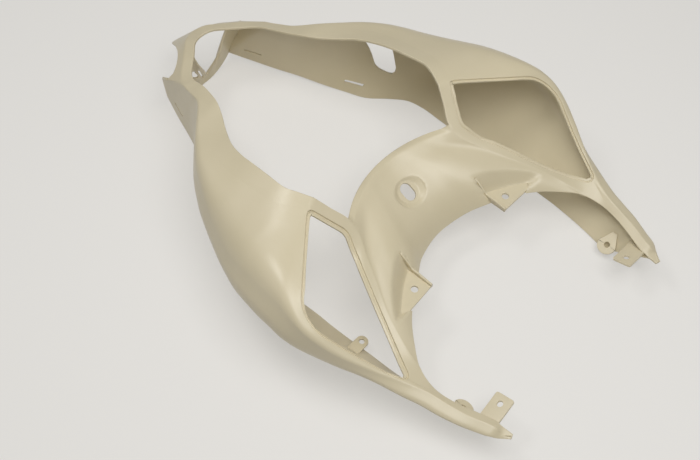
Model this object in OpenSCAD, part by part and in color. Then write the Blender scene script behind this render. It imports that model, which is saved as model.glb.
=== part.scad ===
// Seat cowl: one moulded shell, mirror-symmetric about the plane y = 0.
// Millimetres, +X forward, +Y left, +Z up, resting on z = 0 as on a table.

/* [Body] */
// Overall length, beak tip to arm tips
body_len = 638; // [560:2:720]
// Overall width over the flanks
body_w = 444; // [400:2:490]
// Overall height of the deck above the table
body_h = 138; // [120:1:156]
// Wall thickness of the moulding
wall = 3; // [2.6:0.1:3.6]
// Softness of the fold between deck and flank
fold_soft = 9; // [5:0.5:12]
// Extra rise of the saddle panel between its edges
saddle_rise = 31; // [24:1:36]

/* [Vents] */
// Width of the sunk flange round each vent
flange_w = 5; // [3.5:0.5:7]
// Depth of that flange under the deck surface
flange_sink = 1.7; // [1.2:0.1:2]

/* [Fixings] */
// Bore in the two saddle brackets
bracket_bore = 8; // [6:0.5:9]
// Floor radius of the fan-shaped pocket over each saddle bracket
pocket_r = 40; // [37:1:43]
// Bore in the two arm tabs
tab_bore = 6.5; // [5:0.5:8]
// Bore in the two front lugs
lug_bore = 6.5; // [5:0.5:8]
// Outside radius of the front lugs
lug_r = 11; // [9:0.5:13]
// Bore in the flank walls below the vents
flank_bore = 6; // [5:0.5:7]
// Length of the lock slot in the saddle panel
slot_len = 21; // [18:0.5:26]
// Width of the lock slot
slot_w = 14; // [11:0.5:16]

/* [Hidden] */
shell_colour = [0.80, 0.76, 0.62];
sx = body_len / 638;
sy = body_w / 444;
sz = body_h / 138;
function sc(p) = [p.x * sx, p.y * sy, p.z * sz];
function lerp(a, b, t) = a + (b - a) * t;
function unit(v) = v / max(norm(v), 1e-9);
function flip(p) = [p.x, -p.y, p.z];

// Sections round the horseshoe from the rear centre to the arm tip.
// Each row: inner edge, fold, lower edge, outward swell of the flank.
rows = [
  [[-258, 0, 93], [-275, 0, 87], [-319, 0, 39], 0],
  [[-253, 14, 95], [-268, 16, 91], [-291, 17, 65], 0],
  [[-241, 27, 96], [-255, 30, 92], [-268, 31, 82], 0],
  [[-231, 39, 95], [-244, 43, 92], [-255, 44, 84], 0],
  [[-221, 50, 95], [-234, 55, 91], [-248, 58, 80], 0],
  [[-212, 55, 97], [-224, 64, 91], [-254, 65, 70], 0],
  [[-206, 56.5, 99], [-215, 68, 94], [-270, 60, 56], 0],
  [[-200, 57, 101], [-206, 71, 96], [-279, 53, 9], 0],
  [[-190, 58.5, 104.5], [-194, 74, 100], [-250, 64, 7], 0],
  [[-175, 62, 108], [-177, 80, 105], [-215, 76, 6], 1],
  [[-157, 68, 112], [-156, 102, 107], [-183, 88, 5], 4],
  [[-140, 77, 112.5], [-137, 122, 108], [-150, 99, 3], 10],
  [[-120, 90, 115], [-116, 139, 110.5], [-122, 110, 1], 17],
  [[-98, 102, 120.5], [-94, 152, 112.5], [-97, 120, 0], 22],
  [[-76, 108, 126], [-74, 162, 112.5], [-76, 137, 0], 21],
  [[-54, 110.5, 131.5], [-54, 171, 111.5], [-54, 152, 0], 19],
  [[-30, 112, 135], [-30, 181, 112], [-30, 156, 0], 23],
  [[-7, 113, 137.5], [-6, 189, 115.5], [-6, 155, 0], 28],
  [[9, 108, 138], [12, 193, 120], [12, 154, 0], 32],
  [[24, 101, 135.5], [30, 195, 124.5], [30, 152.5, 0], 35],
  [[40, 92.5, 122], [50, 197.5, 127.5], [50, 151.5, 0], 37],
  [[56.5, 84, 108], [70, 201, 128], [70, 150.5, 0], 37],
  [[74, 86, 98], [89, 208, 122], [89, 150.5, 0], 32],
  [[95, 97, 88], [107, 211, 113], [107, 150, 0], 26],
  [[120, 110, 79.5], [127, 208, 102], [127, 149, 0], 20],
  [[150, 126, 70.5], [150, 199, 89], [150, 148, 0], 15],
  [[180, 137, 62], [178, 186, 75], [178, 147, 0], 10],
  [[207, 143, 54], [207, 177, 61.5], [207, 144, 0], 6],
  [[230, 146, 49.5], [230, 170.5, 54], [230, 140.5, 0], 4],
  [[252, 144, 48.5], [252, 164.5, 50], [252, 136, 0], 2],
  [[274, 137, 46.5], [274, 157.5, 47], [272, 135, 10], 1],
  [[296, 132, 43.5], [296, 149, 43.5], [294, 134, 27], 0],
  [[317, 130, 41.5], [319, 137, 41], [317, 133, 38], 0]
];
row_n = len(rows);
// Vent lips, inner and outer, for rows 19 to 27
vent_rows = [
  [[28, 111.5, 134.5], [29, 117, 134]],
  [[47, 102, 119], [48, 140, 131]],
  [[66, 95, 104], [68, 164, 128]],
  [[85, 102, 92], [87, 187, 125]],
  [[104, 112, 86], [106, 198, 115]],
  [[128, 124.5, 78], [127, 197, 104]],
  [[153, 137, 68.5], [150, 189, 88.5]],
  [[180, 149, 61.5], [180, 176.5, 71.5]],
  [[207, 162, 58], [207, 166, 60.5]]
];
vent_first = 19;
horn = 21;
arm = 27;

// Smooth curve through four neighbours
function cr(a, b, c, d, t) =
  0.5 * ((2 * b) + (c - a) * t + (2 * a - 5 * b + 4 * c - d) * t * t
  + (3 * b - a - 3 * c + d) * t * t * t);
function row_pt(i, k) = i < 0 ? flip(row_pt(-i, k)) : sc(rows[min(i, row_n - 1)][k]);
function at_row(u, k) =
  let (
    i = min(floor(u), row_n - 2), t = u - i,
    p = (k == 2 && i >= 4 && i <= 7)
      ? lerp(row_pt(i, k), row_pt(i + 1, k), t)
      : cr(row_pt(i - 1, k), row_pt(i, k), row_pt(i + 1, k), row_pt(i + 2, k), t)
  )
  [p.x, p.y, max(p.z, 0)];
function swell(u) =
  let (i = min(floor(u), row_n - 2)) lerp(rows[i][3], rows[i + 1][3], u - i) * sy;
// Away from the vents the two lines run at shares of the deck that ease
// towards the vent corners
function ease(i) = i < vent_first ? pow(min(1, (vent_first - i) / 9), 1.4) : 0;
function vent_row(i, k) =
  (i < vent_first || i > arm)
    ? lerp(row_pt(i, 0), row_pt(i, 1),
           i > arm ? (k == 0 ? 0.5 : 0.74)
           : k == 0 ? 0.12 + 0.24 * ease(i) : 0.19 + 0.49 * ease(i))
    : sc(vent_rows[i - vent_first][k]);
function at_vent(u, k) =
  let (i = min(floor(u), row_n - 2), t = u - i)
  cr(vent_row(max(i - 1, 0), k), vent_row(i, k), vent_row(i + 1, k),
     vent_row(min(i + 2, row_n - 1), k), t);

// One section of the strip, from the inner edge to the lower edge
function section(u) =
  let (
    q0 = at_row(u, 0), ga = at_vent(u, 0), gb = at_vent(u, 1),
    q1 = at_row(u, 1), q4 = at_row(u, 2), w = swell(u),
    q2 = lerp(q1, q4, 0.33) + [0, w, 0],
    q3 = lerp(q1, q4, 0.67) + [0, 0.78 * w, 0],
    soft = min(fold_soft, 0.4 * norm(q1 - gb), 0.4 * norm(q2 - q1)),
    ca = q1 + unit(gb - q1) * soft,
    cb = q1 + unit(q2 - q1) * soft,
    cm = 0.25 * ca + 0.5 * q1 + 0.25 * cb,
    q23 = lerp(q2, q3, 0.5) + (q2 + q3 - q1 - q4) * 0.0625
  )
  [q0, ga, gb, ca, cm, cb, q2, q23, q3, q4];
line_n = 10;

// Stations along one arm of the horseshoe
stations = concat(
  [for (i = [0 : 7]) i],
  [for (i = [8 : 0.5 : horn - 0.5]) i],
  [for (i = [horn : 0.5 : arm - 0.5]) i],
  [for (i = [arm : 0.5 : row_n - 1]) i]
);
st_n = len(stations);
j_horn = 2 * horn - 8;
j_arm = j_horn + 2 * (arm - horn);
half = [for (u = stations) section(u)];
// Full strip from the right tip round the rear to the left tip
strip_n = 2 * st_n - 1;
mid = st_n - 1;
strip = [for (i = [0 : strip_n - 1])
  i < mid ? [for (p = half[mid - i]) flip(p)] : half[i - mid]];

// Saddle panel between the two arms
saddle_k = 16;
saddle_j = j_arm - j_horn;
horn_p = half[j_horn][0];
rear_x = 26 * sx;
rear_dx = horn_p.x - rear_x;
rear_r = (horn_p.y * horn_p.y + rear_dx * rear_dx) / (2 * rear_dx);
function rear_arc(t) =
  let (y = horn_p.y * t)
  [rear_x + rear_r - sqrt(rear_r * rear_r - y * y), y, lerp(98 * sz, horn_p.z, t * t)];
front_pts = [
  [116, 0, 43], [123, 36, 47], [136, 60, 54], [150, 84, 57.5],
  [166, 107, 57], [185, 126, 56], [207, 143, 54]
];
function front_pt(i) = i < 0 ? flip(front_pt(-i)) : sc(front_pts[min(i, 6)]);
function front_arc(t) =
  let (a = abs(t) * 6, i = min(floor(a), 5),
       p = cr(front_pt(i - 1), front_pt(i), front_pt(i + 1), front_pt(i + 2), a - i))
  t < 0 ? flip(p) : p;
function side(j, t) = t < 0 ? flip(half[j_horn + j][0]) : half[j_horn + j][0];
function saddle(j, k) =
  let (
    s = j / saddle_j, t = 2 * k / saddle_k - 1, w = (t + 1) / 2,
    a = lerp(rear_arc(t), front_arc(t), s),
    b = lerp(side(j, -1), side(j, 1), w),
    c = lerp(lerp(side(0, -1), side(0, 1), w),
             lerp(side(saddle_j, -1), side(saddle_j, 1), w), s),
    rise = saddle_rise * sz * pow(s, 0.7) * (1 - pow(s, 4)) * (1 - t * t)
  )
  a + b - c + [0, 0, rise];

// Point lists: strip points first, then the inner columns of the saddle
panel = [for (j = [0 : saddle_j]) [for (k = [0 : saddle_k])
  k == 0 ? strip[mid - j_horn - j][0]
  : k == saddle_k ? strip[mid + j_horn + j][0] : saddle(j, k)]];
function on_panel(i) = abs(i - mid) >= j_horn && abs(i - mid) <= j_arm;
function strip_normal(i, v) =
  let (
    a = strip[max(i - 1, 0)][v], b = strip[min(i + 1, strip_n - 1)][v],
    j = abs(i - mid) - j_horn,
    c = (v == 0 && on_panel(i)) ? panel[j][i < mid ? 1 : saddle_k - 1]
        : strip[i][max(v - 1, 0)],
    d = strip[i][min(v + 1, line_n - 1)]
  )
  unit(cross(b - a, d - c));
function panel_normal(j, k) =
  unit(cross(panel[j][min(k + 1, saddle_k)] - panel[j][max(k - 1, 0)],
             panel[max(j - 1, 0)][k] - panel[min(j + 1, saddle_j)][k]));
function sid(i, v) = i * line_n + v;
pan_base = strip_n * line_n;
function pid(j, k) =
  k == 0 ? sid(mid - j_horn - j, 0)
  : k == saddle_k ? sid(mid + j_horn + j, 0)
  : pan_base + j * (saddle_k - 1) + k - 1;
outer = concat(
  [for (i = [0 : strip_n - 1]) for (v = [0 : line_n - 1]) strip[i][v]],
  [for (j = [0 : saddle_j]) for (k = [1 : saddle_k - 1]) panel[j][k]]
);
inner = concat(
  [for (i = [0 : strip_n - 1]) for (v = [0 : line_n - 1])
    strip[i][v] - wall * strip_normal(i, v)],
  [for (j = [0 : saddle_j]) for (k = [1 : saddle_k - 1])
    panel[j][k] - wall * panel_normal(j, k)]
);
pt_n = len(outer);
// Two triangles over one cell, clockwise seen from outside
function quad(a, b, c, d) = [[a, b, c], [a, c, d]];
function rim(a, b) = [[a, b, b + pt_n], [a, b + pt_n, a + pt_n]];
cells = concat(
  [for (i = [0 : strip_n - 2]) for (v = [0 : line_n - 2])
    each quad(sid(i, v), sid(i, v + 1), sid(i + 1, v + 1), sid(i + 1, v))],
  [for (j = [0 : saddle_j - 1]) for (k = [0 : saddle_k - 1])
    each quad(pid(j, k), pid(j, k + 1), pid(j + 1, k + 1), pid(j + 1, k))]
);
rims = concat(
  [for (i = [0 : strip_n - 2]) each rim(sid(i + 1, line_n - 1), sid(i, line_n - 1))],
  [for (i = [0 : strip_n - 2]) if (!(on_panel(i) && on_panel(i + 1)))
    each rim(sid(i, 0), sid(i + 1, 0))],
  [for (v = [0 : line_n - 2]) each rim(sid(0, v + 1), sid(0, v))],
  [for (v = [0 : line_n - 2]) each rim(sid(strip_n - 1, v), sid(strip_n - 1, v + 1))],
  [for (k = [0 : saddle_k - 1]) each rim(pid(0, k + 1), pid(0, k))],
  [for (k = [0 : saddle_k - 1]) each rim(pid(saddle_j, k), pid(saddle_j, k + 1))]
);
module shell() {
  polyhedron(
    points = concat(outer, inner),
    faces = concat(
      cells,
      [for (f = cells) [f[2] + pt_n, f[1] + pt_n, f[0] + pt_n]],
      rims
    )
  );
}

// Height of the saddle panel over a point of the plan
function tri_z(p, q, r, x, y) =
  let (
    d = (q.y - r.y) * (p.x - r.x) + (r.x - q.x) * (p.y - r.y),
    a = ((q.y - r.y) * (x - r.x) + (r.x - q.x) * (y - r.y)) / d,
    b = ((r.y - p.y) * (x - r.x) + (p.x - r.x) * (y - r.y)) / d,
    c = 1 - a - b
  )
  (a > -0.001 && b > -0.001 && c > -0.001) ? a * p.z + b * q.z + c * r.z : -1;
function panel_z(x, y) =
  max([for (j = [0 : saddle_j - 1]) for (k = [0 : saddle_k - 1])
    let (p = panel[j][k], q = panel[j][k + 1], r = panel[j + 1][k + 1], w = panel[j + 1][k])
    max(tri_z(p, q, r, x, y), tri_z(p, r, w, x, y))]);

// Rounded quadrilateral of a vent in plan, moved inwards by d
vent_quad = [[26.8, 114.3], [64.6, 92.6], [215.3, 162], [104.6, 207.7]];
vent_round = [7, 18, 6, 37];
function vent_corner(i) = let (q = vent_quad[(i + 4) % 4]) [q.x * sx, q.y * sy];
function corner_arc(i, d) =
  let (
    c = vent_corner(i), a = unit(vent_corner(i - 1) - c), b = unit(vent_corner(i + 1) - c),
    half_turn = acos(a * b) / 2, r = vent_round[i % 4],
    o = c + unit(a + b) * r / sin(half_turn),
    n = 6, sweep = 180 - 2 * half_turn, m = atan2(-(a + b).y, -(a + b).x)
  )
  [for (k = [0 : n]) o + (r - d) * [cos(m - sweep / 2 + sweep * k / n),
                                    sin(m - sweep / 2 + sweep * k / n)]];
// Corner arcs with three points on each side between them
function vent_loop(d) = [for (i = [0 : 3])
  let (a = corner_arc(i, d), b = corner_arc(i + 1, d)[0], last = a[len(a) - 1])
  each concat(a, [for (m = [1 : 3]) lerp(last, b, m / 4)])];
// Height of the surface that spans the vent, from the two lip lines
function lip(x, k, i = 19) =
  i >= arm ? at_vent(arm, k)
  : (vent_row(i + 1, k).x >= x) ?
      at_vent(i + max(0, (x - vent_row(i, k).x) / (vent_row(i + 1, k).x - vent_row(i, k).x)), k)
  : lip(x, k, i + 1);
function vent_z(p) =
  let (a = lip(p.x, 0), b = lip(p.x, 1), w = (p.y - a.y) / max(b.y - a.y, 6 * sy))
  lerp(a.z, b.z, min(max(w, -0.3), 1));
vent_up = unit([0.536 / sx, -0.293 / sy, 0.79 / sz]);
function vent_ring(d, sink) = [for (p = vent_loop(d)) [p.x, p.y, vent_z(p)] - sink * vent_up];
// Solid through rings of equal count, capped at both ends or joined in a loop
module loft(rings, loop = false) {
  m = len(rings);
  n = len(rings[0]);
  polyhedron(
    points = [for (r = rings) each r],
    faces = concat(
      loop ? [] : [for (i = [1 : n - 2]) [0, i + 1, i]],
      loop ? [] : [for (i = [1 : n - 2]) [(m - 1) * n, (m - 1) * n + i, (m - 1) * n + i + 1]],
      [for (a = [0 : loop ? m - 1 : m - 2]) for (i = [0 : n - 1])
        let (b = (a + 1) % m, k = (i + 1) % n)
        each [[a * n + i, a * n + k, b * n + k], [a * n + i, b * n + k, b * n + i]]]
    )
  );
}
module vent_plug() {
  loft([vent_ring(0, -14), vent_ring(0, 12)]);
}
module vent_flange() {
  loft([
    vent_ring(-3.2, flange_sink + 2.2), vent_ring(flange_w, flange_sink + 2.2),
    vent_ring(flange_w, flange_sink), vent_ring(-2.4, flange_sink)
  ], loop = true);
}

// Saddle bracket: a fan-shaped pocket with a sloping rim, a flat floor and a bore
fan_c = [166 * sx, 63 * sy];
floor_z = 60 * sz;
bracket_c = [146 * sx, 79.5 * sy];
fan_from = 95;
fan_to = 177;
fan_slope = 0.72;
side_y = 65.5 * sy;
module fan(z0, z1, r0, r1, grow = 0) {
  intersection() {
    translate([fan_c.x, fan_c.y, z0]) cylinder(h = z1 - z0, r1 = r0, r2 = r1, $fn = 56);
    translate([0, 0, z0]) linear_extrude(z1 - z0)
      polygon([[fan_c.x - 90, side_y - grow], [157 * sx + grow, side_y - 1 - grow],
               [162 * sx + grow, 120 * sy + grow], [155 * sx, 150 * sy], [fan_c.x - 90, 150 * sy]]);
  }
}
function fan_pt(a, r, z) = [fan_c.x + r * cos(a), fan_c.y + r * sin(a), z];
function rim_ring(a) =
  let (
    r_top = pocket_r + fan_slope * 19,
    p = fan_pt(a, r_top, 0), q = fan_pt(a, r_top + 3, 0),
    hp = panel_z(p.x, p.y) - 1.2, hq = panel_z(q.x, q.y) - 1.2
  )
  [fan_pt(a, pocket_r + fan_slope * (hp - floor_z) - 1.5, hp), fan_pt(a, pocket_r - 2, floor_z - 1.4),
   fan_pt(a, pocket_r + 2, floor_z - 2.6), fan_pt(a, pocket_r + fan_slope * (hq - floor_z) + 3, hq)];
module fan_rim() {
  loft([for (i = [0 : 9]) rim_ring(lerp(fan_from, fan_to, i / 9))]);
}
// Rib along the straight inboard side of the pocket, out to the plate's corner
module fan_side() {
  xs = [for (i = [0 : 6]) lerp(113, 157, i / 6) * sx];
  loft([for (x = xs)
    let (top = max(panel_z(x, side_y - 1.3) - 1.2, floor_z + lerp(7.5, 3.2, (x / sx - 113) / 44)))
    [[x, side_y + 0.2, top], [x, side_y + 0.2, floor_z - 2.6],
     [x, side_y - 2.4, floor_z - 2.6], [x, side_y - 2.4, top]]]);
}
module bracket() {
  fan(floor_z - wall, floor_z, pocket_r + 1, pocket_r + 1, 0.3);
}

// Places of the bored plates that hang from the walls
module at_tab() {
  translate(sc([288.5, 114.5, 41])) rotate([-9, -18, 0]) children();
}
module at_lug() {
  translate(sc([258.8, 132, 14.6])) rotate([30, 0, 0]) children();
}
module at_flank() {
  translate(sc([130.9, 145.3, 12.7])) rotate([5, 0, 0]) rotate(-5) children();
}
module at_bracket() {
  translate([bracket_c.x, bracket_c.y, floor_z - 1.5]) children();
}
// Round end and a tongue that runs outboard into the wall, tip wide at its root there
module ear(r, out, tip, t) {
  cylinder(h = t, r = r, center = true, $fn = 32);
  linear_extrude(t, center = true) polygon([[-r, 0], [r, 0], [tip, out], [-tip, out]]);
}
module plates() {
  at_tab() translate([-11, -tab_bore / 2 - 7, -wall / 2]) cube([22, tab_bore / 2 + 32, wall]);
  at_lug() ear(lug_r, 16.4, 3, wall);
  at_flank() ear(flank_bore / 2 + 4, 15.9, flank_bore / 2 + 4, 2.6);
}
module bore(d, h) {
  cylinder(h = h, d = d, center = true, $fn = 32);
}
module bores() {
  at_bracket() bore(bracket_bore, 24);
  at_tab() bore(tab_bore, 10);
  at_lug() bore(lug_bore, 6);
  at_flank() bore(flank_bore, 6);
}

// Lock recess in the saddle panel: a conical dish round an oblong slot
lock_c = sc([70.4, 0, 82]);
module at_lock(z) {
  translate(lock_c) rotate([0, 27, 0]) translate([0, 0, z]) children();
}
module lock_boss() {
  at_lock(-5.2) cylinder(h = 4.2, r1 = slot_len * 0.69, r2 = slot_len * 0.84, $fn = 40);
}
module lock_cut() {
  at_lock(-2.6) cylinder(h = 6, r1 = slot_len * 0.62, r2 = slot_len * 1.05, $fn = 40);
  at_lock(-12) {
    for (s = [-1, 1]) translate([s * (slot_len - slot_w) / 2, 0, 0])
      cylinder(h = 24, d = slot_w, $fn = 32);
    translate([-(slot_len - slot_w) / 2, -slot_w / 2, 0]) cube([slot_len - slot_w, slot_w, 24]);
  }
}

// Rear apron between the side walls, open above for the tail lamp
apron_edge = [
  [-261, 0, 24], [-257, 5, 34.5], [-253, 10, 45], [-248.5, 16.6, 60], [-248, 19.2, 68],
  [-247, 22.5, 78], [-244.5, 27, 91], [-245.5, 36, 91], [-247, 46, 88], [-248.5, 55, 80],
  [-251, 60.5, 73]
];
apron_n = len(apron_edge) - 1;
function apron_top(i) = i < 0 ? flip(apron_top(-i)) : sc(apron_edge[i]);
function apron_low(i) =
  let (t = apron_edge[abs(i)].y / 60.5) sc([-269 - 8.5 * t * t, sign(i) * 52 * t, 10 * t * t]);
function apron_ring(i) =
  let (a = apron_low(i), b = apron_top(i), m = (a + b) / 2 - [2.5, 0, 0], t = [2.6, 0, 0])
  [a + t, m + t, b + t, b, m, a];
module apron() {
  difference() {
    loft([for (i = [-apron_n : apron_n]) apron_ring(i)]);
    for (s = [-1, 1]) translate([-300 * sx, 0, 0]) rotate([90, 0, 90]) linear_extrude(62 * sx) {
      polygon([[s * 3 * sy, 17 * sz], [s * 5.5 * sy, 16 * sz], [s * 18 * sy, 49 * sz],
               [s * 15.5 * sy, 50 * sz]]);
      polygon([[s * 12 * sy, 25 * sz], [s * 26 * sy, 35 * sz], [s * 21.5 * sy, 52 * sz]]);
    }
  }
}

// Openings in the side wall: a window under the deck and two thin slots
module wall_cuts() {
  translate([0, 190 * sy, 0]) rotate([90, 0, 0]) linear_extrude(62 * sy)
    polygon([for (p = [[-124, 76], [-119, 67], [-110, 51], [-103, 39.5], [-97, 35.5], [-84, 30.5],
                       [-80, 31], [-80, 36], [-86, 51], [-95, 70], [-102, 78], [-118, 80]])
             [p.x * sx, p.y * sz]]);
  translate(sc([-241, 62, 25.5])) cube([22 * sx, 26, 2.2], center = true);
  translate(sc([-116.5, 116, 13.5])) rotate([0, 2.7, 0]) cube([21 * sx, 30, 2.2], center = true);
}

module side_parts() {
  vent_flange();
  bracket();
  plates();
}
module side_cuts() {
  vent_plug();
  fan(floor_z, floor_z + 60, pocket_r, pocket_r + fan_slope * 60);
  fan(floor_z - 20, floor_z + 1, pocket_r - 0.5, pocket_r - 0.5);
  wall_cuts();
}
module both_sides() {
  for (m = [0, 1]) mirror([0, m, 0]) children();
}

module seat_cowl() {
  color(shell_colour) difference() {
    union() {
      difference() {
        union() {
          shell();
          lock_boss();
          both_sides() {
            fan_rim();
            fan_side();
          }
        }
        both_sides() side_cuts();
        lock_cut();
      }
      apron();
      both_sides() side_parts();
    }
    both_sides() bores();
  }
}

seat_cowl();
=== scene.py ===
# %% [markdown]
# # A motorcycle seat cowl in unpainted moulded ABS
# The real piece is one injection moulding: a 3 mm wall bent into a horseshoe, with two
# open vents, a saddle panel that carries a lock, slim arms in front and a beaked tail.
# Here the outside is worked out as one thin sheet of points, the openings are cut into
# that sheet, and then the whole sheet is given its wall and its rounded rims.
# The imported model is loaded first, because every size has to agree with it.

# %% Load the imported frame
import bpy
import numpy as np
from mathutils import Matrix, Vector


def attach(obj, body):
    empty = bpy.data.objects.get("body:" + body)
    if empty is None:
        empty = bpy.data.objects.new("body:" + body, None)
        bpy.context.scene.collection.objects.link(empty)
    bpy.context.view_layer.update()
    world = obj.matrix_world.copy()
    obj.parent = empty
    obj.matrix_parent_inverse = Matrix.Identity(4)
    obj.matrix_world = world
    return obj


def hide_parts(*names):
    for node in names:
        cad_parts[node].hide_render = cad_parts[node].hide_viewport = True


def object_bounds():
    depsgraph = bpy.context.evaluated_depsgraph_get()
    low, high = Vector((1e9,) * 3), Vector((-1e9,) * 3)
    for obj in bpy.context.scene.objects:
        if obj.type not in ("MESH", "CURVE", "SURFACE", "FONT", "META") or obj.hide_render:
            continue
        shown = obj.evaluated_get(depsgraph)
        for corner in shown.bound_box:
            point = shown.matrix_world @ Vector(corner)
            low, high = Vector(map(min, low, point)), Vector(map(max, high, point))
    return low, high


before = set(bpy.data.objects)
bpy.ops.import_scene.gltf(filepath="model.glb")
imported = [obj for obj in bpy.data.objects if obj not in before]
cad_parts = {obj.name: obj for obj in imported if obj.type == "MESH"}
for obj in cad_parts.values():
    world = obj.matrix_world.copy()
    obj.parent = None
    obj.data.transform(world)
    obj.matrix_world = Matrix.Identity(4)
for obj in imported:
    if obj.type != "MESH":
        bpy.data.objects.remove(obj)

cad_low, cad_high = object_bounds()
MM = 0.001
DRAWN_SIZE = np.array([638.0, 443.0, 138.0])
box_size = (np.array(cad_high) - np.array(cad_low)) / MM
print("CAD box in mm:", box_size.round(1), "drawn as", DRAWN_SIZE)

# %% [markdown]
# ## Camera
# The photograph was solved for its camera: a lens of about 49 mm on a 36 mm wide frame,
# a little over a metre away, looking down at 58 degrees. A camera looks along its own
# -Z, so its three axes are the right, up and backward directions of the view.

# %% Camera at the photograph's angle
CAMERA_AT = (0.415024, -0.487324, 0.950500)
VIEW_RIGHT = np.array([0.745, 0.66705, 0.00404])
VIEW_AHEAD = np.array([-0.35092, 0.39707, -0.84805])
FOCAL_PIXELS, PHOTO_WIDTH, SENSOR = 960.0, 700.0, 36.0


def unit(v):
    """Each vector divided by its own length."""
    return v / np.maximum(np.linalg.norm(v, axis=-1, keepdims=True), 1e-12)


def camera():
    """Camera whose matrix columns are right, up (right x ahead) and minus ahead."""
    data = bpy.data.cameras.new("photo_camera")
    data.sensor_width = SENSOR
    data.lens = FOCAL_PIXELS / PHOTO_WIDTH * SENSOR
    data.clip_start, data.clip_end = 0.05, 50.0
    made = bpy.data.objects.new("photo_camera", data)
    bpy.context.scene.collection.objects.link(made)
    ahead = unit(VIEW_AHEAD)
    right = unit(VIEW_RIGHT - (VIEW_RIGHT @ ahead) * ahead)
    matrix = np.eye(4)
    matrix[:3, 0], matrix[:3, 1], matrix[:3, 2] = right, np.cross(right, ahead), -ahead
    matrix[:3, 3] = CAMERA_AT
    made.matrix_world = Matrix(matrix.tolist())
    bpy.context.scene.camera = made
    return made


photo_camera = camera()
bpy.context.scene.view_settings.view_transform = "Standard"
print("lens in mm:", round(photo_camera.data.lens, 2))

# %% [markdown]
# ## The lines that shape the moulding
# A designer would draw such a shell as long curves: the inner edge, the fold between
# deck and flank, and the lower edge. Each row below is one section of the horseshoe,
# from the rear centre to the tip of an arm, and holds a point on each of those curves
# and how far the flank swells outwards. A smooth curve is then run through each column.
# The saddle panel's front edge runs on into the arms' inner edges as one curve.

# %% Rows of the horseshoe, in millimetres
ROWS = np.array([
    [-258, 0, 93, -275, 0, 87, -319, 0, 39, 0],
    [-253, 14, 95, -268, 16, 91, -291, 17, 65, 0],
    [-241, 27, 96, -255, 30, 92, -268, 31, 82, 0],
    [-231, 39, 95, -244, 43, 92, -255, 44, 84, 0],
    [-221, 50, 95, -234, 55, 91, -248, 58, 80, 0],
    [-212, 55, 97, -224, 64, 91, -254, 65, 70, 0],
    [-206, 56.5, 99, -215, 68, 94, -270, 60, 56, 0],
    [-200, 57, 101, -206, 71, 96, -279, 53, 9, 0],
    [-190, 58.5, 104.5, -194, 74, 100, -250, 64, 7, 0],
    [-175, 62, 108, -177, 80, 105, -215, 76, 6, 1],
    [-157, 68, 112, -156, 102, 107, -183, 88, 5, 4],
    [-140, 77, 112.5, -137, 122, 108, -150, 99, 3, 10],
    [-120, 90, 115, -116, 139, 110.5, -122, 110, 1, 17],
    [-98, 102, 120.5, -94, 152, 112.5, -97, 120, 0, 22],
    [-76, 108, 126, -74, 162, 112.5, -76, 137, 0, 21],
    [-54, 110.5, 131.5, -54, 171, 111.5, -54, 152, 0, 19],
    [-30, 112, 135, -30, 181, 112, -30, 156, 0, 23],
    [-7, 113, 137.5, -6, 189, 115.5, -6, 155, 0, 28],
    [9, 108, 138, 12, 193, 120, 12, 154, 0, 32],
    [24, 101, 135.5, 30, 195, 124.5, 30, 152.5, 0, 35],
    [40, 92.5, 122, 50, 197.5, 127.5, 50, 151.5, 0, 37],
    [56.5, 84, 108, 70, 201, 128, 70, 150.5, 0, 37],
    [74, 86, 98, 89, 208, 122, 89, 150.5, 0, 32],
    [95, 97, 88, 107, 211, 113, 107, 150, 0, 26],
    [120, 110, 79.5, 127, 208, 102, 127, 149, 0, 20],
    [150, 126, 70.5, 150, 199, 89, 150, 148, 0, 15],
    [180, 137, 62, 178, 184, 74.5, 178, 147, 0, 11],
    [207, 143, 54, 207, 168.5, 62.5, 207, 144, 0, 15],
    [230, 148, 49.5, 230, 158.6, 57, 230, 140.5, 0, 16],
    [252, 145.6, 47.5, 252, 153.8, 53, 252, 136, 0, 15.5],
    [274, 138.8, 46, 274, 148.7, 50.6, 272, 135, 10, 13.5],
    [294, 132, 43.5, 294, 141.5, 48.9, 293, 134, 26, 13],
    [301, 131.5, 42.8, 302, 139.8, 47.5, 301, 134, 31, 11],
    [307, 131.5, 42.2, 309, 140.5, 42.2, 307, 134, 35, 5],
    [316.5, 131, 41.5, 318.2, 136.5, 41, 316.5, 133, 38, 0],
])
VENT_LIPS = np.array([
    [28, 111.5, 134.5, 29, 117, 134],
    [47, 102, 119, 48, 140, 131],
    [66, 95, 104, 68, 164, 128],
    [85, 102, 92, 87, 187, 125],
    [104, 112, 86, 106, 198, 115],
    [128, 124.5, 78, 127, 197, 104],
    [153, 137, 68.5, 150, 189, 88.5],
    [180, 149, 61.5, 180, 176.5, 71.5],
    [207, 160.5, 59.5, 207, 164.5, 61.5],
])
FRONT_EDGE = np.array([
    [116, 0, 43], [123, 36, 47], [136, 60, 54], [150, 84, 57.5],
    [166, 107, 57], [185, 126, 56],
])
FIRST_LIP, HORN, ARM, LAST = 19, 21, 27, 34
inner_row, fold_row, lower_row = ROWS[:, 0:3], ROWS[:, 3:6], ROWS[:, 6:9]
swell_row = ROWS[:, 9]
front_row = np.vstack([FRONT_EDGE, inner_row[ARM:]])
print(len(ROWS), "sections, vents between sections", FIRST_LIP, "and", ARM)

# %% [markdown]
# A cubic through four neighbours passes through every row and has no kink. Where the
# real edge has a corner, the neighbour beyond the corner is replaced by the straight
# continuation, so the curve arrives and leaves there without being rounded off.

# %% Smooth curve through rows
FLIP = np.array([1.0, -1.0, 1.0])


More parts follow.
